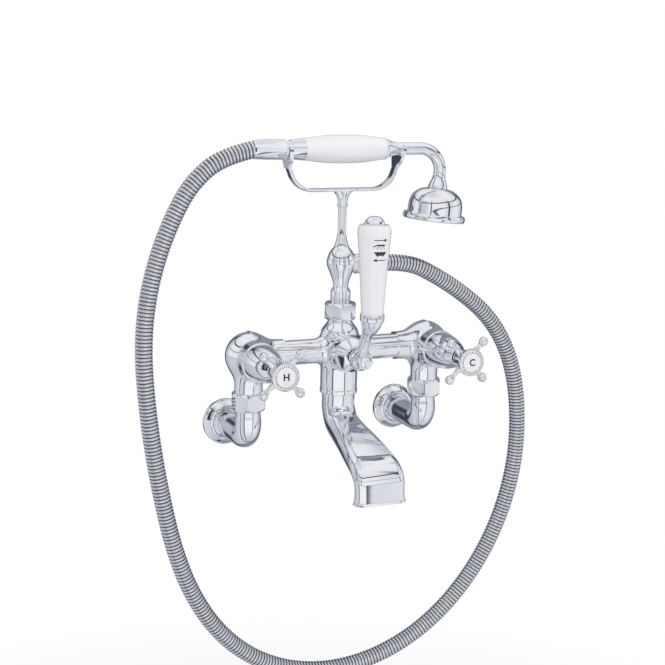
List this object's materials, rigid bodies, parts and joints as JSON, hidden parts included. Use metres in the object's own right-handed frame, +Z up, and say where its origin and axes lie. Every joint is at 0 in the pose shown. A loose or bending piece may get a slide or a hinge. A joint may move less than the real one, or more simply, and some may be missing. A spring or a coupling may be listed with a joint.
{
  "type": "wall-mounted bath and shower mixer",
  "caption": "Wall-mounted bath and shower mixer with crosshead valves, diverter lever, wide spout, riser with cradle, hand shower and ribbed hose.",
  "frame": {"origin": "on the wall plane, midway between the two inlets", "axes": "+X to the right seen from the front, -Y out from the wall, +Z up"},
  "size_m": [0.4023, 0.1685, 0.5268],
  "materials": {
    "chrome": "polished chrome plate",
    "hose_metal": "ribbed chrome plate",
    "porcelain": "white glazed porcelain, opaque",
    "ceramic": "lapped ceramic, opaque",
    "brass": "machined",
    "steel": "drawn",
    "rubber": "matt"
  },
  "bodies": {
    "body": {"wall_elbow_hot": "chrome", "wall_flange_hot": "chrome", "union_nut_hot": "chrome", "union_washer_hot": "rubber", "housing_hot": "chrome", "cartridge_hot": "brass", "cartridge_seal_hot": "rubber", "fixed_disc_hot": "ceramic", "bonnet_hot": "chrome", "wall_elbow_cold": "chrome", "wall_flange_cold": "chrome", "union_nut_cold": "chrome", "union_washer_cold": "rubber", "housing_cold": "chrome", "cartridge_cold": "brass", "cartridge_seal_cold": "rubber", "fixed_disc_cold": "ceramic", "bonnet_cold": "chrome", "centre_body": "chrome", "diverter_bonnet": "chrome", "diverter_cartridge": "brass", "spout": "chrome", "spout_collar": "chrome", "spout_seal": "rubber", "riser_nut": "chrome", "riser_washer": "rubber", "hose_riser": "chrome", "cradle": "chrome", "hose_nut_riser": "chrome", "hose": "hose_metal"},
    "hot_handle": {"moving_disc_hot": "ceramic", "spindle_hot": "brass", "crosshead_hot": "chrome", "handle_screw_hot": "chrome", "index_bezel_hot": "chrome", "index_plate_hot": "porcelain"},
    "cold_handle": {"moving_disc_cold": "ceramic", "spindle_cold": "brass", "crosshead_cold": "chrome", "handle_screw_cold": "chrome", "index_bezel_cold": "chrome", "index_plate_cold": "porcelain"},
    "diverter": {"diverter_disc": "ceramic", "diverter_spindle": "brass", "lever_hub": "chrome", "lever_button": "chrome", "lever_grip": "porcelain", "lever_cap": "chrome", "lever_rod": "steel"},
    "handset": {"hose_nut_handset": "chrome", "handset_inlet": "chrome", "handset_grip": "porcelain", "handset_liner": "brass", "handset_neck": "chrome", "rose_shell": "chrome", "rose_ring": "chrome", "rose_face": "chrome"}
  },
  "joints": [
    {"name": "hot_valve", "type": "hinge", "parent": "body", "child": "hot_handle", "pos_m": [-0.09, -0.147, 0.0775], "axis": [0, -1, 0], "range_deg": [0, 90]},
    {"name": "cold_valve", "type": "hinge", "parent": "body", "child": "cold_handle", "pos_m": [0.09, -0.147, 0.0775], "axis": [0, 1, 0], "range_deg": [0, 90]},
    {"name": "diverter_turn", "type": "hinge", "parent": "body", "child": "diverter", "pos_m": [0, -0.112, 0.0775], "axis": [0, 1, 0], "range_deg": [-45, 45]},
    {"name": "handset_lift", "type": "slide", "parent": "body", "child": "handset", "axis": [0, 0, 1], "range_m": [0, 0.06]}
  ]
}
